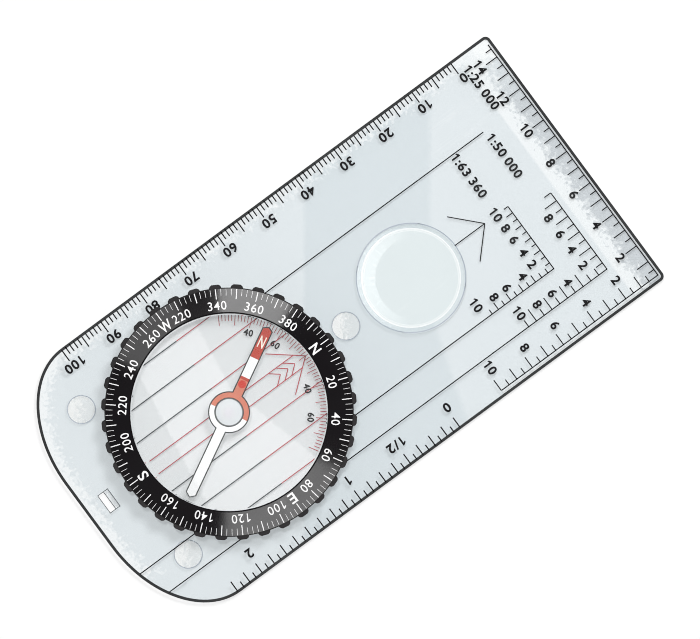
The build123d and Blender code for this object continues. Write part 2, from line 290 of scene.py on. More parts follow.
# Shader building blocks; each works in the tree of the socket that it is given
def isNumber(value):
    return isinstance(value, (int, float))


# Puts a number into a socket, or links another socket to it
def feed(socket, value):
    if isNumber(value):
        socket.default_value = value
    else:
        socket.id_data.links.new(value, socket)


# One math node, whose inputs are numbers or sockets
def reckon(operation, *values):
    tree = next(value for value in values if not isNumber(value)).id_data
    node = tree.nodes.new("ShaderNodeMath")
    node.operation = operation
    for socket, value in zip(node.inputs, values):
        feed(socket, value)
    return node.outputs[0]


# The same operation down a row of values, for a + b + c, a * b * c or the largest of them
def folded(operation):
    return lambda *values: reduce(lambda first, other: reckon(operation, first, other), values)


plus, minus = folded("ADD"), folded("SUBTRACT")
times, over = folded("MULTIPLY"), folded("DIVIDE")
largest = folded("MAXIMUM")


# How far a value is from a middle: |value - middle|
def offFrom(value, middle=None):
    return reckon("ABSOLUTE", value if middle is None else minus(value, middle))


# sqrt(x x + y y)
def lengthOf(x, y):
    return reckon("SQRT", plus(times(x, x), times(y, y)))


# A place's distance along a slanting direction, with something added: x a + y b + extra
def slanted(x, y, direction, extra):
    return plus(times(x, direction[0]), times(y, direction[1]), extra)


# Straight from "start" to "end" while the value goes from "low" to "high", both counted from a base
def ramp(value, low, high, start=0.0, end=1.0, base=0.0):
    node = value.id_data.nodes.new("ShaderNodeMapRange")
    feed(node.inputs["Value"], value)
    numbers = {"From Min": base + low, "From Max": base + high, "To Min": start, "To Max": end}
    for socketName, number in numbers.items():
        node.inputs[socketName].default_value = number
    return node.outputs["Result"]


# Noise between 0 and 1 round the middle value 0.5
def addNoise(vector, scale, detail=2.0, roughness=0.5):
    node = vector.id_data.nodes.new("ShaderNodeTexNoise")
    feed(node.inputs["Vector"], vector)
    feed(node.inputs["Scale"], scale)
    feed(node.inputs["Detail"], detail)
    feed(node.inputs["Roughness"], roughness)
    return node.outputs["Fac"]


# A tree that materials share, with its inputs' first values and its outputs' names
def makeGroup(name, inputs, outputs):
    group = bpy.data.node_groups.new(name, "ShaderNodeTree")
    for socketName, value in inputs.items():
        socket = group.interface.new_socket(name=socketName, in_out="INPUT", socket_type="NodeSocketFloat")
        socket.default_value = value
    for socketName in outputs:
        group.interface.new_socket(name=socketName, in_out="OUTPUT", socket_type="NodeSocketFloat")
    return group, group.nodes.new("NodeGroupInput").outputs, group.nodes.new("NodeGroupOutput").inputs


wearForm = {
    "scratchScale": 260.0, "smudgeScale": 55.0,
    "scratches": ((0.5, 0.03), (-0.9, 0.045)),  # which way they run, and how much the noise is squeezed
    "thin": 0.006, "where": (0.48, 0.66), "smudge": (0.42, 0.68),
}


# Handling wear: thin crossing scratches, where stretched noise passes its middle value, and soft smudges
def makeWear():
    scales = {"Scratch Scale": wearForm["scratchScale"], "Smudge Scale": wearForm["smudgeScale"]}
    group, given, result = makeGroup("handlingWear", scales, ("Scratch", "Smudge"))
    place = group.nodes.new("ShaderNodeTexCoord").outputs["Object"]
    lines = []
    for turn, squeeze in wearForm["scratches"]:
        stretch = group.nodes.new("ShaderNodeMapping")
        feed(stretch.inputs["Vector"], place)
        stretch.inputs["Rotation"].default_value = (0, 0, turn)
        stretch.inputs["Scale"].default_value = (1, squeeze, 1)
        noise = addNoise(stretch.outputs["Vector"], given["Scratch Scale"], detail=3.0)
        lines.append(ramp(offFrom(noise, 0.5), 0.0, wearForm["thin"], 1.0, 0.0))
    where = ramp(addNoise(place, given["Smudge Scale"]), *wearForm["where"])
    feed(result["Scratch"], times(largest(*lines), where))
    smudge = addNoise(place, given["Smudge Scale"], detail=4.0, roughness=0.6)
    feed(result["Smudge"], ramp(smudge, *wearForm["smudge"]))
    return group


grainForm = {"grainScale": 2600.0, "toneScale": 70.0}


# Moulded grain: fine pits from noise as a height, and a slow change of tone over the piece
def makeGrain():
    scales = {"Grain Scale": grainForm["grainScale"], "Tone Scale": grainForm["toneScale"]}
    group, given, result = makeGroup("mouldedGrain", scales, ("Height", "Tone"))
    place = group.nodes.new("ShaderNodeTexCoord").outputs["Object"]
    feed(result["Height"], addNoise(place, given["Grain Scale"], detail=3.0, roughness=0.65))
    feed(result["Tone"], addNoise(place, given["Tone Scale"], detail=3.0))
    return group


speckScale = 1300.0


# Tones in clear plastic start from the place in mm from the capsule's axis and a fine noise that frays their
# borders. In their dictionaries two numbers are where a tone begins and where it is full, and two more its
# share at each of those
def startTones(name, frayed, outputs):
    group, given, result = makeGroup(name, {"Fray": frayed}, outputs)
    place = group.nodes.new("ShaderNodeTexCoord").outputs["Object"]
    parts = group.nodes.new("ShaderNodeSeparateXYZ")
    feed(parts.inputs[0], place)
    x = minus(times(parts.outputs["X"], 1 / mm), dialX / mm)
    y = minus(times(parts.outputs["Y"], 1 / mm), dialY / mm)
    fray = times(minus(addNoise(place, speckScale, detail=0.0), 0.5), given["Fray"])
    return group, result, x, y, fray


# Where tones lie: pale ones painted highlights and thin plate, broad ones painted sheen, deep painted shade
plateTone = {
    "fray": 6.0, "softFray": 0.15,
    "rim": (2.0, 2.9, 1.0, 0.0), "rimEnd": (16.5, 18.0, 0.75, 0.0),  # inwards from the outline; rightwards
    "front": (84.6, 85.1), "frontTip": (-26.6, -25.6, 1.0, 0.0), "frontDeep": (-28.0, -15.0),
    "band": (81.5, 82.0, 0.0, 0.6),  # behind the front bevel
    "stripFront": (88.4, 88.42), "stripRight": (29.98, 30.0), "stripRear": (48.0, 48.02), "stripShare": 0.6,
    "footEdge": (-0.03, 0.03, 1.0, 0.0), "footLit": (-0.6, 0.0, 1.0, 0.4), "lightwards": (0.594, 0.804),
    "slotAlong": (0.0, 0.02, 0.35, 0.0), "slotAcross": (0.0, 0.02, 1.0, 0.0),
    "broad": (  # each border's direction and place, and how softly it fades
        ((0.594, 0.804), 15.5, (-0.5, 0.5)),
        ((0.594, 0.804), 41.5, (-0.7, 0.7, 1.0, 0.0)),
        ((0.32, 1.006), 48.7, (-0.7, 0.7, 1.0, 0.0)),
    ),
    # the wall's: how level a face may be, and how near to the outline it lies
    "upright": (0.2, 0.3, 1.0, 0.0), "wallSide": (-0.3, -0.2), "wallRear": (0.5, 0.6, 1.0, 0.0),
}


# The outline's distance, as edgeDistance gives it: (1 - q) q / sqrt((A/a)^2 + (B/b)^2), with A = X/a,
# B = Y/b and q = sqrt(A^2 + B^2), where X and Y reach out past the swept corners' centres
def outlineDistance(x, y):
    across, rise = halfWidth - outline["rearFlat"], outline["sweepRise"]
    outX = largest(minus(offFrom(x), outline["rearFlat"]), 0.0)
    outY = largest(minus(rearEdge + rise, y), 0.0)
    a, b = over(outX, across), over(outY, rise)
    q = largest(lengthOf(a, b), 0.01)  # never nought, like the slope below
    steep = largest(lengthOf(over(a, across), over(b, rise)), 0.00001)
    return over(times(minus(1.0, q), q), steep)


# The pale tone: painted highlights near the left and rear outline, on a band behind the front bevel, at
# the front's left tip, on strips at two edges and on one side of each foot; and paler over the feet and the
# slot, where the plate is thin
def paleTone(x, y, fray, inside, front, atFront):
    tone = plateTone
    rim = times(ramp(plus(inside, fray), *tone["rim"]), ramp(plus(x, fray), *tone["rimEnd"]))
    band = times(ramp(y, *tone["band"]), minus(1.0, front))
    tip = times(front, ramp(plus(x, fray), *tone["frontTip"]))
    atRight = times(ramp(x, *tone["stripRight"]), ramp(y, *tone["stripRear"]))
    strip = times(largest(atFront, atRight), tone["stripShare"])
    pale = largest(rim, band, tip, strip)
    lightX, lightY = tone["lightwards"]
    for footX, footY in footPlaces:
        disc = ramp(lengthOf(minus(x, footX), minus(y, footY)), *tone["footEdge"], base=footRadius)
        lit = minus(slanted(x, y, tone["lightwards"], fray), footX * lightX + footY * lightY)
        pale = largest(pale, times(disc, ramp(lit, *tone["footLit"])))
    middle, half = (slotForm["rear"] + slotForm["front"]) / 2, (slotForm["front"] - slotForm["rear"]) / 2
    slotted = ramp(offFrom(y, middle), *tone["slotAlong"], base=half)
    slotted = times(slotted, ramp(offFrom(x), *tone["slotAcross"], base=slotForm["halfWidth"]))
    return largest(pale, slotted)


# The darker band of painted sheen: wide and slanting, its far border bent
def broadTone(x, y, fray):
    softly = times(fray, plateTone["softFray"])
    before, *after = [
        ramp(slanted(x, y, direction, softly), *edge, base=border)
        for direction, border, edge in plateTone["broad"]
    ]
    return times(before, largest(*after))


# Wall: the upright faces round the outline
def wallTone(x, y, inside, normal):
    upright = ramp(offFrom(normal), *plateTone["upright"])
    atSide = ramp(offFrom(x), *plateTone["wallSide"], base=halfWidth)
    atFront = ramp(y, *plateTone["wallSide"], base=frontEdge)
    return times(upright, largest(atSide, atFront, ramp(inside, *plateTone["wallRear"])))


# The plate's four tones; painted shade lies on its front bevel, less of it towards the left
def makePlateTones():
    group, result, x, y, fray = startTones("plateTones", plateTone["fray"], ("PaleAndHighlight", "PaintedShade", "PaintedSheen", "Wall"))
    inside = outlineDistance(x, y)
    atFront = ramp(y, *plateTone["stripFront"])
    front = times(ramp(plus(y, fray), *plateTone["front"]), minus(1.0, atFront))
    facing = group.nodes.new("ShaderNodeSeparateXYZ")
    feed(facing.inputs[0], group.nodes.new("ShaderNodeTexCoord").outputs["Normal"])
    feed(result["PaleAndHighlight"], paleTone(x, y, fray, inside, front, atFront))
    feed(result["PaintedShade"], times(front, ramp(plus(x, fray), *plateTone["frontDeep"])))
    feed(result["PaintedSheen"], broadTone(x, y, fray))
    feed(result["Wall"], wallTone(x, y, inside, facing.outputs["Z"]))
    return group


lensTone = {"fray": 0.2, "rim": (9.8, 10.1, 0.0, 0.8), "stepRadius": 9.8, "step": (0.05, 0.15, 0.8, 0.0)}


# Tones of the lens: painted highlights on its sloping rim and on the step at the crown's foot
def makeLensTones():
    group, result, x, y, fray = startTones("lensTones", lensTone["fray"], ("PaleAndHighlight",))
    away = lengthOf(x, minus(y, lensY))
    rim = ramp(plus(away, fray), *lensTone["rim"])
    step = ramp(offFrom(away, lensTone["stepRadius"]), *lensTone["step"])
    feed(result["PaleAndHighlight"], largest(rim, step))
    return group


capsuleTone = {
    "fray": 1.2, "direction": (0.147, 0.989), "rear": (-13.2, -12.6, 1.0, 0.0), "front": (2.3, 2.9),
    "bentDirection": (-0.252, 0.968), "bentFront": (3.8, 4.4),
}


# Tones of the capsule: a darker painted sheen behind one slanting border and ahead of another, which is bent
def makeCapsuleTones():
    group, result, x, y, fray = startTones("capsuleTones", capsuleTone["fray"], ("PaintedSheen",))
    across = slanted(x, y, capsuleTone["direction"], fray)
    bent = slanted(x, y, capsuleTone["bentDirection"], fray)
    ahead = times(ramp(across, *capsuleTone["front"]), ramp(bent, *capsuleTone["bentFront"]))
    feed(result["PaintedSheen"], largest(ramp(across, *capsuleTone["rear"]), ahead))
    return group


hubTone = {"fray": 0.0, "rim": (2.68, 2.76)}


# Tones of the hub: painted shade round its rim, where it sits in the needle's ring
def makeHubTones():
    group, result, x, y, _ = startTones("hubTones", hubTone["fray"], ("PaintedShade",))
    feed(result["PaintedShade"], ramp(lengthOf(x, y), *hubTone["rim"]))
    return group


wear, grain = makeWear(), makeGrain()
plateTones, lensTones, capsuleTones = makePlateTones(), makeLensTones(), makeCapsuleTones()
hubTones = makeHubTones()

# What all finishes share
finishForm = {
    "bumpDepth": 0.00003, "coatRoughness": 0.12, "toneBlend": (0.35, 0.65),
    "glassIndex": 1.49, "glassSmudge": 0.03,
}


# An empty material with its tree and its main shader
def startMaterial(name):
    material = bpy.data.materials.new(name)
    material.use_nodes = True
    tree = material.node_tree
    return material, tree, tree.nodes["Principled BSDF"]


# A group's node in a tree
def addGroup(tree, group):
    node = tree.nodes.new("ShaderNodeGroup")
    node.node_tree = group
    return node


# The first colour, a socket or three numbers, goes over into the second as the factor goes from 0 to 1
def mixColours(factor, first, second):
    node = factor.id_data.nodes.new("ShaderNodeMix")
    node.data_type = "RGBA"
    feed(node.inputs["Factor"], factor)
    if isinstance(first, tuple):
        node.inputs[6].default_value = (*first, 1)
    else:
        feed(node.inputs[6], first)
    node.inputs[7].default_value = (*second, 1)
    return node.outputs[2]


# Shows the second shader in place of the first, as the factor goes from 0 to 1, at a tree's output
def chooseShader(factor, first, second, output):
    choose = factor.id_data.nodes.new("ShaderNodeMixShader")
    for socket, source in zip(choose.inputs, (factor, first.outputs[0], second.outputs[0])):
        feed(socket, source)
    feed(factor.id_data.nodes[output].inputs["Surface"], choose.outputs[0])


# A solid finish: two close tones blended by the grain, roughness broken by smudges, and a fine bump
def solidFinish(
    name, colour, tone, roughness, metal=0.0, grainScale=grainForm["grainScale"], bump=0.15, coat=0.0,
    spread=0.12, gloss=0.5,
):
    material, tree, shader = startMaterial(name)
    pits, marks = addGroup(tree, grain), addGroup(tree, wear)
    feed(pits.inputs["Grain Scale"], grainScale)
    blend = ramp(pits.outputs["Tone"], *finishForm["toneBlend"])
    feed(shader.inputs["Base Color"], mixColours(blend, colour, tone))
    uneven = reckon("MULTIPLY_ADD", marks.outputs["Smudge"], spread, roughness)
    feed(shader.inputs["Roughness"], uneven)
    feed(shader.inputs["Specular IOR Level"], gloss)
    feed(shader.inputs["Metallic"], metal)
    feed(shader.inputs["Coat Weight"], coat)
    feed(shader.inputs["Coat Roughness"], finishForm["coatRoughness"])
    pitted = tree.nodes.new("ShaderNodeBump")
    feed(pitted.inputs["Strength"], bump)
    feed(pitted.inputs["Distance"], finishForm["bumpDepth"])
    feed(pitted.inputs["Height"], pits.outputs["Height"])
    feed(shader.inputs["Normal"], pitted.outputs["Normal"])
    return material


# A clear finish: tinted refraction with faint smudges and scratches, and a colour for each region of its
# tones, some of them painted highlights, sheen and shade. Lamps and light from matt surfaces pass straight
# through it
def clearFinish(name, tint, scratched, roughness, lampTint, milk=0.0, tones=None, frosted=None):
    material, tree, shader = startMaterial(name)
    marks = addGroup(tree, wear).outputs
    colour = mixColours(marks["Scratch"], tint, scratched)
    uneven = reckon("MULTIPLY_ADD", marks["Smudge"], finishForm["glassSmudge"], roughness)
    if tones:
        regions = addGroup(tree, tones[0]).outputs
        for region, tone in tones[1].items():
            colour = mixColours(regions[region], colour, tone)
    if frosted:
        region, frost = frosted
        uneven = largest(uneven, times(regions[region], frost))
    feed(shader.inputs["Base Color"], colour)
    feed(shader.inputs["Roughness"], uneven)
    feed(shader.inputs["Transmission Weight"], 1.0 - milk)
    feed(shader.inputs["IOR"], finishForm["glassIndex"])
    rays = tree.nodes.new("ShaderNodeLightPath").outputs
    through = tree.nodes.new("ShaderNodeBsdfTransparent")
    through.inputs["Color"].default_value = (*lampTint, 1)
    straight = largest(rays["Is Shadow Ray"], rays["Is Diffuse Ray"])
    chooseShader(straight, shader, through, "Material Output")
    return material


# Below, pale tones are painted highlights and thin plate, broad ones painted sheen, deep ones painted shade
finishes = {
    "clear_acrylic": clearFinish(
        "plateAcrylic", (0.765, 0.815, 0.835), (0.82, 0.86, 0.875), 0.015, (0.97, 0.975, 0.98),
        tones=(plateTones, {
            "PaintedSheen": (0.70, 0.76, 0.785), "PaleAndHighlight": (0.965, 0.985, 0.985), "PaintedShade": (0.61, 0.648, 0.672),
            "Wall": (0.97, 0.985, 0.99),
        }),
        frosted=("Wall", 0.5),
    ),
    "lens_acrylic": clearFinish(
        "lensAcrylic", (0.757, 0.822, 0.832), (0.81, 0.865, 0.87), 0.04, (0.98, 0.985, 0.985),
        tones=(lensTones, {"PaleAndHighlight": (0.985, 1.0, 1.0)}),
    ),
    "capsule_acrylic": clearFinish(
        "capsuleAcrylic", (0.94, 0.954, 0.96), (0.965, 0.97, 0.975), 0.01, (0.99, 0.99, 0.99),
        tones=(capsuleTones, {"PaintedSheen": (0.89, 0.907, 0.913)}),
    ),
    "clear_silicone": clearFinish(
        "footSilicone", (1, 0.995, 0.985), (1, 1, 1), 0.12, (0.985, 0.985, 0.985), 0.2
    ),
    "hub_acrylic": clearFinish(
        "hubAcrylic", (0.82, 0.845, 0.86), (0.86, 0.88, 0.90), 0.4, (0.95, 0.955, 0.96), 0.6,
        tones=(hubTones, {"PaintedShade": (0.10, 0.11, 0.11)}),
    ),
    "slip_washer": solidFinish("washerPlastic", (0.80, 0.81, 0.81), (0.74, 0.75, 0.76), 0.35),
    "sealing_rubber": solidFinish("sealRubber", (0.03, 0.03, 0.032), (0.045, 0.045, 0.047), 0.7),
    "dial_black": solidFinish(
        "dialPlastic", (0.003, 0.002, 0.003), (0.005, 0.004, 0.005), 0.08, bump=0.05, spread=0.04, gloss=0.2
    ),
    "grip_rubber": solidFinish(
        "gripRubber", (0.012, 0.011, 0.012), (0.022, 0.020, 0.021), 0.5, grainScale=1800, bump=0.35,
        gloss=0.25,
    ),
    "brass": solidFinish("turnedBrass", (0.60, 0.42, 0.16), (0.52, 0.35, 0.12), 0.25, metal=1.0),
    "pin_steel": solidFinish("groundSteel", (0.55, 0.56, 0.58), (0.45, 0.46, 0.48), 0.2, metal=1.0),
    "needle_lacquer": solidFinish("needleSteel", (0.46, 0.48, 0.48), (0.40, 0.42, 0.42), 0.35, gloss=0.4),
    "sapphire": clearFinish("jewelSapphire", (0.75, 0.45, 0.6), (0.9, 0.8, 0.85), 0.02, (0.9, 0.8, 0.85)),
}
inks = {
    "black": solidFinish("blackInk", (0.006, 0.006, 0.007), (0.010, 0.010, 0.011), 0.45, gloss=0.1),
    "red": solidFinish("redInk", (0.43, 0.045, 0.06), (0.48, 0.06, 0.075), 0.45, gloss=0.2),
    "grey": solidFinish("greyInk", (0.05, 0.06, 0.065), (0.07, 0.08, 0.085), 0.45, gloss=0.2),
    "white": solidFinish("whiteInk", (0.88, 0.88, 0.88), (0.82, 0.82, 0.82), 0.45, gloss=0.3),
    # A dark line round the plate's outline: painted shade for the dark look of its edge
    "rim": solidFinish("edgeShadeInk", (0.024, 0.025, 0.026), (0.032, 0.034, 0.035), 0.4, gloss=0.2),
    "seam": solidFinish("seamCement", (0.33, 0.37, 0.43), (0.40, 0.44, 0.50), 0.4, gloss=0.3),
}


# Lacquer is a solid finish under a thin gloss coat
def lacquerFinish(name, colour, tone):
    return solidFinish(name, colour, tone, 0.3, coat=0.2, gloss=0.3)


lacquers = {
    "white": lacquerFinish("whiteLacquer", (0.93, 0.93, 0.93), (0.90, 0.90, 0.90)),
    "cream": lacquerFinish("creamLacquer", (0.93, 0.84, 0.74), (0.90, 0.81, 0.71)),
    "red": lacquerFinish("redLacquer", (0.50, 0.05, 0.026), (0.46, 0.042, 0.022)),
    "salmon": lacquerFinish("salmonLacquer", (0.64, 0.20, 0.125), (0.60, 0.175, 0.11)),
    "signal": lacquerFinish("signalLacquer", (0.60, 0.035, 0.016), (0.56, 0.03, 0.014)),
    "primer": solidFinish("needlePrimer", (0.018, 0.02, 0.02), (0.028, 0.03, 0.03), 0.35, gloss=0.3),
}

for row in frame["record"]["subparts"]:
    piece = bpy.data.objects[row["node"]]
    piece.data.materials.clear()
    piece.data.materials.append(finishes[row["material_slot"]])
print("materials made")


# Surfaces that carry print, as heights in mm

# How far inside the outline a point is: straight to the side or the rear edge, and at the swept corners
# (1 - q) / |slope of q|, where q = sqrt((X/a)^2 + (Y/b)^2) is 1 on the corner's ellipse
def edgeDistance(x, y):
    across, rise = halfWidth - outline["rearFlat"], outline["sweepRise"]
    outX = np.maximum(np.abs(x + dialX / mm) - outline["rearFlat"], 0)
    outY = np.maximum(rearEdge + rise - y, 0)
    q = np.maximum(np.hypot(outX / across, outY / rise), 1e-6)
    return (1 - q) * q / np.maximum(np.hypot(outX / across**2, outY / rise**2), 1e-6)


# Flat top, falling in a straight line across each bevel to the plate's edge
def plateHeight(x, y):
    side = 1 - edgeDistance(x, y) / plateForm["sideBevel"]
    front = (y - (frontEdge - plateForm["frontBevel"])) / plateForm["frontBevel"]
    return plateTop - plateForm["bevelDrop"] * np.maximum(0, np.maximum(side, front))


# Where a line along the travel direction meets the rear edge
def rearAt(x):
    share = max(abs(x) - outline["rearFlat"], 0) / (halfWidth - outline["rearFlat"])
    return rearEdge + outline["sweepRise"] * (1 - (1 - share**2) ** 0.5)


dialForm = {"faceInner": 20.75, "faceOuter": 25.6, "slope": 0.95}
dialTop = dialHigh[2] / mm


# A cone that falls evenly from the lip outwards
def dialHeight(x, y):
    out = (np.hypot(x, y) - dialForm["faceInner"]) / (dialForm["faceOuter"] - dialForm["faceInner"])
    return dialTop - dialForm["slope"] * out


# A level surface: the same height everywhere
def levelAt(level):
    return lambda x, y: np.full_like(x, level)


# Another surface, lifted by the same amount everywhere
def lifted(height, lift):
    return lambda x, y: height(x, y) + lift


capsuleForm = {"floor": 1.2, "arrowLift": 0.004, "ticksLift": 0.03}
floorHeight = levelAt(cupLow[2] / mm + capsuleForm["floor"])
needleHeight = levelAt(needleHigh[2] / mm)


# Ink on the plate's top
def printOnPlate(name, flat, ink):
    printOn(name, flat, plateHeight, "baseplate", inks[ink])


# Plate: a dark border line round the outline, painted shade for the dark look of the plate's edge
borderPoints = {"sweep": 33, "side": 12, "corner": 9, "ridgeGap": 0.01}


# Half the outline from rear middle to front middle: a straight, a quarter ellipse, a side and a round
# corner; the other half is its mirror image. Two points close together mark the side bevel's ridge
def plateOutline():
    flat, rise, corner = outline["rearFlat"], outline["sweepRise"], outline["cornerRadius"]
    turn = np.linspace(0, pi / 2, borderPoints["sweep"])
    sweepX = flat + (halfWidth - flat) * np.sin(turn)
    sweepY = rearEdge + rise - rise * np.cos(turn)
    sideY = np.linspace(rearEdge + rise, frontEdge - corner, borderPoints["side"])[1:-1]
    bend = np.linspace(0, pi / 2, borderPoints["corner"])
    cornerX = halfWidth - corner + corner * np.cos(bend)
    cornerY = frontEdge - corner + corner * np.sin(bend)
    ridge = halfWidth - plateForm["sideBevel"] - np.array([0, borderPoints["ridgeGap"]])
    x = np.concatenate([[0], sweepX, np.full(len(sideY), halfWidth), cornerX, ridge])
    y = np.concatenate([[rearEdge], sweepY, sideY, cornerY, [frontEdge, frontEdge]])
    right = np.stack([x, y], 1)
    left = right[1:][::-1] * [-1, 1]
    return np.concatenate([right, left]) - [dialX / mm, 0]


border = pathBand(plateOutline(), -outline["inset"], -outline["inset"] - outline["lineWidth"])
printOnPlate("plateBorder", border, "rim")

# Plate: millimetre scale on the left edge, with a longer tick every five and a number every ten
millimetres = {
    "zeroAhead": 79.75, "count": 101, "longEvery": 5, "numberEvery": 10, "edge": -31.0, "short": -29.25,
    "long": -28.15, "width": 0.265, "numbersAt": -26.85, "capHeight": 1.95, "numberShift": 0.4, "cuts": 4,
}


# Ticks across an edge, one to each place along it, cut so that they follow the bevel
def edgeTicks(form, tickY, isLong):
    tickX = np.where(isLong, form["long"], form["short"])
    return strokes(columns(form["edge"], tickY), columns(tickX, tickY), form["width"], form["cuts"])


# Numbers along an edge, their tops to the plate's right
def edgeNumbers(form, rows):
    return [word(text, (form["numbersAt"], y), form["capHeight"], 90) for text, y in rows]


step = np.arange(millimetres["count"])
tickY = millimetres["zeroAhead"] - step
ticks = edgeTicks(millimetres, tickY, step % millimetres["longEvery"] == 0)
values = range(0, millimetres["count"], millimetres["numberEvery"])
numbers = edgeNumbers(
    millimetres,
    [(str(value), millimetres["zeroAhead"] - value + millimetres["numberShift"]) for value in values],
)
printOnPlate("millimetreScale", together(ticks, *numbers), "black")

# Plate: inch scale on the right edge, in sixteenths
inches = {
    "zeroAhead": 36.6, "pitch": 25.4 / 16, "count": 37, "longEvery": 2, "edge": 31.0, "short": 29.55,
    "long": 28.4, "width": 0.27, "numbersAt": 26.0, "capHeight": 1.95, "cuts": 4,
    "numbers": {"0": 36.85, "1/2": 23.75, "1": 11.55, "2": -13.95},
}
step = np.arange(inches["count"])
tickY = inches["zeroAhead"] - step * inches["pitch"]
ticks = edgeTicks(inches, tickY, step % inches["longEvery"] == 0)
numbers = edgeNumbers(inches, inches["numbers"].items())
printOnPlate("inchScale", together(ticks, *numbers), "black")

# Plate: map romers. Two of their lines stop short of the rear edge by "shortOfRear"
romerInk = {
    "line": 0.24, "tick": 0.235, "capHeight": 1.9, "dialSeat": 24.5, "tickCuts": 4, "lineCuts": 40,
    "shortOfRear": 0.5,
}


# Stretches of a line along the travel direction, left out where the dial covers the plate
def pastDial(x, start, end):
    half = max(romerInk["dialSeat"] ** 2 - x**2, 0) ** 0.5
    if half == 0 or end > half:
        return [((x, start), (x, end))]
    return [((x, start), (x, half)), ((x, -half), (x, end))]


# How far from the corner a baseline's ticks stand, at an even pitch, and how long each one is: short and
# long by turns, the first one short
def romerTicks(first, short, long, count=10, pitch=2.0, longOn=0, leftOut=()):
    step = np.arange(count)
    step = step[~np.isin(step, leftOut)]
    return first + step * pitch, np.where((step % 2 == longOn) & (step > 0), long, short)


# Two baselines that meet at a corner, with their ticks, numbers and title
def romer(name, corner, across, down, ends, numbers, title):
    x0, y0 = corner
    tick, cuts = romerInk["tick"], romerInk["tickCuts"]
    away, reach = romerTicks(**across)
    shapes = [strokes(columns(x0 - away, y0), columns(x0 - away, y0 - reach), tick, cuts)]
    away, reach = romerTicks(**down)
    shapes.append(strokes(columns(x0, y0 - away), columns(x0 - reach, y0 - away), tick, cuts))
    lines = [((x0 + romerInk["line"] / 2, y0), (ends[0], y0))] + pastDial(x0, y0, ends[1])
    shapes.append(strokes(*zip(*lines), romerInk["line"], romerInk["lineCuts"]))
    shapes += [word(text, (x, y), romerInk["capHeight"]) for text, x, y in numbers + [title]]
    printOnPlate(name, together(*shapes), "black")


# Even numbers from the first one, each at its own place along a row
def rowOfNumbers(first, places, y):
    return [(str(first + 2 * k), x, y) for k, x in enumerate(places)]


# The same down a column, where the ten stands a little to the left
def columnOfNumbers(first, places, x, shift):
    rows = [(first + 2 * k, y) for k, y in enumerate(places)]
    return [(str(value), x - shift * (value == 10), y) for value, y in rows]


romer(
    "romer25000",
    corner=(29.85, 88.25),
    across={
        "first": 1.42, "short": 1.4, "long": 2.8, "count": 29, "pitch": 2.025, "longOn": 1, "leftOut": [2],
    },
    down={"first": 2.25, "short": 1.35, "long": 2.65, "count": 20, "longOn": 1},
    ends=(-29.4, 48.0),
    numbers=rowOfNumbers(2, (22.35, 13.95, 6.1, -2.0, -10.3, -18.6, -26.55), 84.15)
    + columnOfNumbers(2, (80.65, 72.95, 64.95, 57.15, 48.95), 25.55, 0.85),
    title=("1:25 000", -23.0, 81.95),
)
romer(
    "romer50000",
    corner=(22.6, 80.5),
    across={"first": 1.6, "short": 1.65, "long": 3.0},
    down={"first": 2.1, "short": 1.6, "long": 3.0},
    ends=(3.0, rearAt(22.6) + romerInk["shortOfRear"]),
    numbers=rowOfNumbers(2, (19.05, 14.95, 11.05, 6.95), 77.05)
    + columnOfNumbers(4, (72.35, 68.45, 64.55, 60.45), 19.9, 0.7),
    title=("1:50 000", -8.8, 77.4),
)
romer(
    "romer63360",
    corner=(16.0, 71.7),
    across={"first": 1.5, "short": 1.05, "long": 1.6, "pitch": 1.61},
    down={"first": 1.5, "short": 1.1, "long": 1.7, "pitch": 1.59},
    ends=(0.0, rearAt(16.0) + romerInk["shortOfRear"]),
    numbers=rowOfNumbers(2, (12.6, 9.55, 6.3, 3.35, -0.05), 68.65)
    + columnOfNumbers(4, (65.55, 61.55, 58.25, 54.25), 13.4, 0.8),
    title=("1:63 360", -9.85, 69.05),
)

# Plate: direction line and travel arrow
directionMarks = {
    "line": [(-15.4, 76.75), (-15.4, 20.0)], "lineWidth": 0.24,
    "arrow": [(0, 58.0), (0, 65.75)], "headFoot": (5.75, 60.3), "arrowWidth": 0.225,
}
tail, tip = directionMarks["arrow"]
footX, footY = directionMarks["headFoot"]
arrow = strokes([tail, tip, tip], [tip, (footX, footY), (-footX, footY)], directionMarks["arrowWidth"])
line = strokes(*directionMarks["line"], directionMarks["lineWidth"])
printOnPlate("directionMarks", together(arrow, line), "black")

# Plate: cement beads round the lens and the feet
seams = {
    "lensInner": 11.2, "lensOuter": 11.42, "lensSteps": 96,
    "footWidth": 0.15, "footLift": 0.014, "footSteps": 48,
}
points, triangles = ringBand(seams["lensInner"], seams["lensOuter"], 0, 360, seams["lensSteps"])
printOn("lensBead", (points + [0, lensY], triangles), plateHeight, "baseplate", inks["seam"])
points, triangles = ringBand(footRadius - seams["footWidth"], footRadius, 0, 360, seams["footSteps"])
beads = together(*[(points + place, triangles) for place in footPlaces])
beadHeight = levelAt(footTop + seams["footLift"])
printOn("footBeads", beads, beadHeight, "baseplate", inks["seam"])

# Plate: painted shade on the slot's edges and on the fold where its ramp begins, as grey lines
side, rear, front, half = slotForm["halfWidth"], slotForm["rear"], slotForm["front"], slotForm["line"] / 2
starts = [(-side - half, rear), (-side - half, front), (-side, rear), (side, rear)]
ends = [(side + half, rear), (side + half, front), (-side, front), (side, front)]
printOnPlate("slotEdges", strokes(starts, ends, slotForm["line"]), "grey")


# The slot's ramp rises evenly from the plate's underside to its top
def rampHeight(x, y):
    underside = plateLow[2] / mm
    return underside + (plateTop - underside) * (y - slotForm["rampFoot"]) / slotForm["rampRun"]


fold = slotForm["rampFoot"] + half + slotForm["foldGap"]
foldLine = strokes((-side, fold), (side, fold), slotForm["line"])
printOn("slotFold", foldLine, rampHeight, "baseplate", inks["grey"])
print("plate printed")

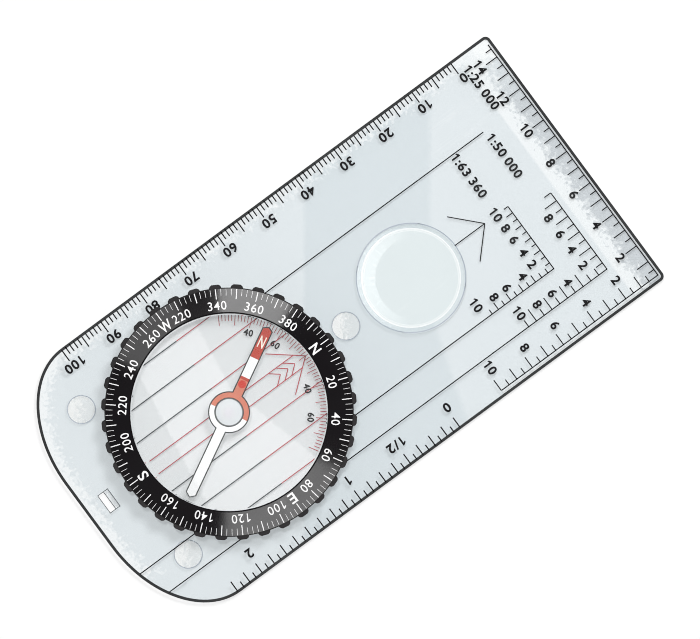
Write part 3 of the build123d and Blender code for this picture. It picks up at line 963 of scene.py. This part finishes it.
# Dial: degrees
degrees = {
    "ticks": 144, "majorEvery": 4, "outer": 25.55, "minorInner": 24.15, "majorInner": 23.5,
    "minorWidth": 0.084, "majorWidth": 0.188, "numbersAt": 22.12, "capHeight": 1.7, "letterHeight": 2.15,
    "stretch": 0.98, "letterStretch": {"N": 0.86, "E": 1.08, "S": 1.12, "W": 0.75},
    "labels": ["N", "20", "40", "60", "80", "E", "100", "120", "140", "160", "S", "200", "220", "240", "260",
               "W", "220", "340", "360", "380"],
    "bearings": [0, 20, 40, 60, 80, 90, 100, 120, 140, 160, 180, 200, 220, 240, 260, 270, 280, 300, 320, 340],
}
step = np.arange(degrees["ticks"])
bearings = step * 360 / degrees["ticks"]
isMajor = step % degrees["majorEvery"] == 0
shapes = [
    spokes(bearings[~isMajor], degrees["minorInner"], degrees["outer"], degrees["minorWidth"]),
    spokes(bearings[isMajor], degrees["majorInner"], degrees["outer"], degrees["majorWidth"]),
]
for text, bearing in zip(degrees["labels"], degrees["bearings"]):
    place = degrees["numbersAt"] * outwards(bearing)
    if text in degrees["letterStretch"]:
        height, weight, stretch = degrees["letterHeight"], lettering["medium"], degrees["letterStretch"][text]
    else:
        height, weight, stretch = degrees["capHeight"], lettering["light"], degrees["stretch"]
    shapes.append(word(text, place, height, bearing, weight, stretch))
printOn("dialDegrees", together(*shapes), dialHeight, "dial", inks["white"])

# Capsule: meridian lines, orienting arrow and declination scale
meridians = {"spacing": 6.1, "reach": 20.3, "redWidth": 0.2, "greyWidth": 0.24}
orienting = {
    "apex": 19.65, "headFoot": (5.25, 13.2), "shaft": 1.6, "shaftFoot": -19.3, "width": 0.2,
    "chevrons": [16.9, 15.15, 13.2], "chevronDrop": 1.95,
}
declination = {
    "outer": 20.2, "inner": 18.9, "longInner": 18.0, "reach": 60, "step": 2.0, "longEvery": 10, "width": 0.15,
    "labels": {-40: "40", -19.3: "60", 19.5: "40", 40: "60"}, "labelsAt": 16.95, "capHeight": 1.35,
    "stretch": 0.97,
}
lineX = meridians["spacing"] * np.array([-3, -2, -1, 1, 2, 3])
lineY = np.sqrt(meridians["reach"] ** 2 - lineX**2)
redLines = strokes(columns(lineX, 0 * lineY), columns(lineX, lineY), meridians["redWidth"])
greyLines = strokes(columns(lineX, -lineY), columns(lineX, 0 * lineY), meridians["greyWidth"])
footX, footY = orienting["headFoot"]
apex, shaft = orienting["apex"], orienting["shaft"]
shoulder = apex - (apex - footY) * shaft / footX
starts = [(0, apex), (0, apex), (-shaft, orienting["shaftFoot"]), (shaft, orienting["shaftFoot"])]
ends = [(footX, footY), (-footX, footY), (-shaft, shoulder), (shaft, shoulder)]
for tip in orienting["chevrons"]:
    starts += [(0, tip), (0, tip)]
    ends += [(shaft, tip - orienting["chevronDrop"]), (-shaft, tip - orienting["chevronDrop"])]
arrowLines = strokes(starts, ends, orienting["width"])
halfStep = declination["step"] / 2  # lets the last tick in
bearings = np.arange(-declination["reach"], declination["reach"] + halfStep, declination["step"])
isLong = np.isclose(bearings % declination["longEvery"], 0)
scale = together(
    spokes(bearings[~isLong], declination["inner"], declination["outer"], declination["width"]),
    spokes(bearings[isLong], declination["longInner"], declination["outer"], declination["width"]),
)
labels = [
    word(text, declination["labelsAt"] * outwards(bearing), declination["capHeight"], bearing,
         stretch=declination["stretch"])
    for bearing, text in declination["labels"].items()
]


# Ink on the capsule's floor, lifted where it crosses other ink
def printOnFloor(name, flat, ink, lift=0.0, each=0):
    printOn(name, flat, lifted(floorHeight, lift), "dial", inks[ink], each=each)


printOnFloor("northLines", redLines, "red")
printOnFloor("orientingArrow", arrowLines, "red", capsuleForm["arrowLift"], each=4)  # strokes of four points
printOnFloor("declinationTicks", scale, "red", capsuleForm["ticksLift"])
printOnFloor("southLines", greyLines, "grey")
printOnFloor("declinationNumbers", together(*labels), "black")
print("dial and capsule printed")

# Needle: dark primer that laps over the steel's edge, and lacquer set in from it
lacquer = {
    "heading": -28.5, "barHalf": 0.94, "ringOuter": 4.1, "ringInner": 3.06, "tipAt": 19.22, "acrossSteps": 13,
    "northTip": (0.08, 0.5), "southTip": (0.04, 0.66),  # a tip's flat half width, and its fall
    "salmonTo": 7.35, "redTo": 7.95, "whiteTo": 12.36, "salmonReach": 91.5, "ringSteps": 48,
    "letterAt": 16.0, "letterHeight": 2.45, "letterSqueeze": 0.5,
    "dotAt": 6.38, "dotRadius": 0.84, "dotSteps": 24,
}
primer = {
    "barHalf": 1.19, "ringOuter": 4.34, "ringInner": 2.88, "tipAt": 19.46, "rise": 0.012, "acrossSteps": 13,
    "northTip": (0.12, 0.62), "southTip": (0.06, 0.84), "ringSteps": 96,
}


# A stretch of one arm, ahead of the pivot or behind it: straight ends across it, or its start on the ring,
# or its end on a tip, which is flat for a half width and then falls evenly to the arm's side
def armStretch(start, end, tip=(0, 0), ahead=True, form=lacquer):
    flatHalf, fall = tip
    across = np.linspace(-form["barHalf"], form["barHalf"], form["acrossSteps"])
    x = np.unique(np.append(across, [-flatHalf, flatHalf]))
    low = np.sqrt(form["ringOuter"] ** 2 - x**2) if start is None else np.full_like(x, start)
    share = np.clip((np.abs(x) - flatHalf) / (form["barHalf"] - flatHalf), 0, 1)
    high = form["tipAt"] - fall * share if end is None else np.full_like(x, end)
    sign = 1 if ahead else -1
    points = np.stack([np.stack([x, low * sign], 1), np.stack([x, high * sign], 1)], 1)
    return facingUp(points.reshape(-1, 2), gridTriangles(len(x), 2))


# Shapes drawn with the needle pointing ahead, turned to its heading and laid on its steel
def paintNeedle(name, colour, shapes, height=needleHeight, rise=inkRise):
    flat = turned(together(*shapes), lacquer["heading"])
    printOn(name, flat, height, "needle", lacquers[colour], rise)


reach = lacquer["salmonReach"]
ringSize = (lacquer["ringInner"], lacquer["ringOuter"])
paintNeedle("needlePrimer", "primer", [
    ringBand(primer["ringInner"], primer["ringOuter"], 0, 360, primer["ringSteps"]),
    armStretch(None, None, primer["northTip"], True, primer),
    armStretch(None, None, primer["southTip"], False, primer),
], rise=primer["rise"])
paintNeedle("whiteLacquer", "white", [
    ringBand(*ringSize, reach, 360 - reach, lacquer["ringSteps"]),
    armStretch(None, None, lacquer["southTip"], False),
    armStretch(lacquer["redTo"], lacquer["whiteTo"]),
])
paintNeedle("redLacquer", "red", [
    armStretch(lacquer["salmonTo"], lacquer["redTo"]),
    armStretch(lacquer["whiteTo"], None, lacquer["northTip"]),
])
paintNeedle("salmonLacquer", "salmon", [
    ringBand(*ringSize, -reach, reach, lacquer["ringSteps"]),
    armStretch(None, lacquer["salmonTo"]),
])
overPaint = lifted(needleHeight, inkRise)
points, triangles = word("N", (0, 0), lacquer["letterHeight"], weight=lettering["medium"])
north = (points * [lacquer["letterSqueeze"], 1] + [0, lacquer["letterAt"]], triangles)
paintNeedle("northLetter", "cream", [north], overPaint)
points, triangles = ringBand(0.0, lacquer["dotRadius"], 0, 360, lacquer["dotSteps"])
paintNeedle("northDot", "signal", [(points + [0, lacquer["dotAt"]], triangles)], overPaint)
print("needle lacquered")

# Floor and background
stage = {
    "floorHalf": 1.5, "floorColour": (0.9, 0.9, 0.9), "floorRoughness": 0.9, "world": 0.41,
    "white": (0.66, 0.42),  # how much of the floor glows white: straight from the camera, and through glass
}


# A share for rays that show the background: straight from the camera, or through glass
def seenDirectly(tree, straight=1.0, through=1.0):
    rays = tree.nodes.new("ShaderNodeLightPath").outputs
    return largest(times(rays["Is Camera Ray"], straight), times(rays["Is Transmission Ray"], through))


floorMesh = bpy.data.meshes.new("floor")
half = stage["floorHalf"]
corners = [(-half, -half, 0), (half, -half, 0), (half, half, 0), (-half, half, 0)]
floorMesh.from_pydata(corners, [], [(0, 1, 2, 3)])
floor = bpy.data.objects.new("floor", floorMesh)
bpy.context.scene.collection.objects.link(floor)
material, tree, shader = startMaterial("paleFloor")
shader.inputs["Base Color"].default_value = (*stage["floorColour"], 1)
shader.inputs["Roughness"].default_value = stage["floorRoughness"]
shader.inputs["Specular IOR Level"].default_value = 0.0
glow = tree.nodes.new("ShaderNodeEmission")
chooseShader(seenDirectly(tree, *stage["white"]), shader, glow, "Material Output")
floorMesh.materials.append(material)

scene = bpy.context.scene
world = bpy.data.worlds.new("studio")
scene.world = world
world.use_nodes = True
soft = world.node_tree.nodes["Background"]
soft.inputs["Color"].default_value = (1, 1, 1, 1)
soft.inputs["Strength"].default_value = stage["world"]
backdrop = world.node_tree.nodes.new("ShaderNodeBackground")
backdrop.inputs["Color"].default_value = (1, 1, 1, 1)
chooseShader(seenDirectly(world.node_tree), soft, backdrop, "World Output")
scene.view_settings.view_transform = "Standard"
scene.cycles.max_bounces = scene.cycles.glossy_bounces = 64  # light runs far along inside the clear plate
scene.cycles.transmission_bounces = 24
scene.cycles.filter_width = 1.0

# The sun gives the narrow shadows, the soft lamp the wide ones; the cards only show in gloss: in the
# dial's sloping face, in the lens and on the plate's bevelled rim
sunLight = {"bearing": 275.0, "lean": 6.5, "distance": 1.0, "strength": 1.05, "angle": 2.5}
softLamp = {"bearing": 338.0, "lean": 17.0, "distance": 0.6, "size": 0.125, "radiance": 30.0}
# Seen from above, a face that leans by an angle mirrors what stands twice that angle off straight up
cards = {
    "height": 600.0, "aimHeight": 9,
    "dial": {
        "middleY": 0.0, "far": 298.1,
        # from one bearing to another, radiance, depth
        "stretches": [(302, 336, 13.2, 60), (243, 279.5, 4.2, 60), (64, 95, 8.0, 60), (95, 128, 8.0, 60)],
    },
    "lens": {"middleY": lensY, "far": 243.0, "stretches": []},
}
# The lens's crescent: narrow cards side by side, brightest and deepest in the middle
crescent = {
    "from": 131.5, "to": 301.5, "cards": 18, "radiance": 2.7, "fade": 0.8, "depth": 86.0, "endDepth": 66.0,
}
for number in range(crescent["cards"]):
    width = (crescent["to"] - crescent["from"]) / crescent["cards"]
    share = sin(pi * (number + 0.5) / crescent["cards"])
    low = crescent["from"] + number * width
    depth = crescent["endDepth"] + (crescent["depth"] - crescent["endDepth"]) * share
    radiance = crescent["radiance"] * share ** crescent["fade"]
    cards["lens"]["stretches"].append((low, low + width, radiance, depth))


# Puts a lamp out along a bearing, leaning from straight up, and turns it to the capsule
def aim(thing, bearing, lean, distance):
    turn, tilt = radians(bearing), radians(lean)
    away = np.array([sin(turn) * sin(tilt), cos(turn) * sin(tilt), cos(tilt)])
    thing.location = away * distance + [dialX, dialY, 0]
    thing.rotation_euler = (tilt, 0, pi - turn)


wattsPerRadiance = 4  # an area lamp's power, over its radiance and its area


# A lamp that the camera doesn't see
def addLight(name, kind):
    data = bpy.data.lights.new(name, kind)
    thing = bpy.data.objects.new(name, data)
    scene.collection.objects.link(thing)
    thing.visible_camera = False
    return thing, data


# A rectangular lamp that only shows in gloss, at a place in mm from the capsule's axis, facing a target
def addCard(name, place, target, width, depth, radiance):
    lamp, data = addLight(name, "AREA")
    data.shape, data.size, data.size_y = "RECTANGLE", width * mm, depth * mm
    data.energy = radiance * wattsPerRadiance * data.size * data.size_y
    start = Vector(place) * mm + Vector((dialX, dialY, 0))
    away = start - Vector(target) * mm - Vector((dialX, dialY, 0))
    lamp.location = start
    lamp.rotation_euler = away.to_track_quat("Z", "Y").to_euler()
    lamp.visible_diffuse = lamp.visible_transmission = False


sun, data = addLight("sun", "SUN")
data.energy, data.angle = sunLight["strength"], radians(sunLight["angle"])
aim(sun, sunLight["bearing"], sunLight["lean"], sunLight["distance"])
sun.visible_glossy = sun.visible_transmission = False
softLight, data = addLight("softLamp", "AREA")
data.size = softLamp["size"]
data.energy = softLamp["radiance"] * wattsPerRadiance * data.size**2
aim(softLight, softLamp["bearing"], softLamp["lean"], softLamp["distance"])
softLight.visible_glossy = softLight.visible_transmission = False
for name in ("dial", "lens"):
    middleY = cards[name]["middleY"]
    for number, (low, high, radiance, depth) in enumerate(cards[name]["stretches"]):
        out = cards[name]["far"] - depth / 2
        turn, half = radians((low + high) / 2), radians((high - low) / 2)
        place = (out * sin(turn), out * cos(turn) + middleY, cards["height"])
        target = (0, middleY, cards["aimHeight"])
        addCard(f"{name}Card{number}", place, target, 2 * out * tan(half), depth, radiance)

# Straight down on to the plate; the direction of travel points 36.43 degrees above the view's right. The
# view's middle lies right of the capsule's axis and above it, in mm
viewForm = {"travelAngle": 36.43, "width": 144.84, "right": 25.0201, "up": 19.1851, "height": 500}
lens = bpy.data.cameras.new("camera")
lens.type = "ORTHO"
lens.ortho_scale = viewForm["width"] * mm
camera = bpy.data.objects.new("camera", lens)
scene.collection.objects.link(camera)
turn = radians(90 - viewForm["travelAngle"])
right, up = viewForm["right"] * mm, viewForm["up"] * mm
camera.location = (
    dialX + right * cos(turn) - up * sin(turn),
    dialY + right * sin(turn) + up * cos(turn),
    viewForm["height"] * mm,
)
camera.rotation_euler = (0, 0, turn)
scene.camera = camera
print("lights and camera set")
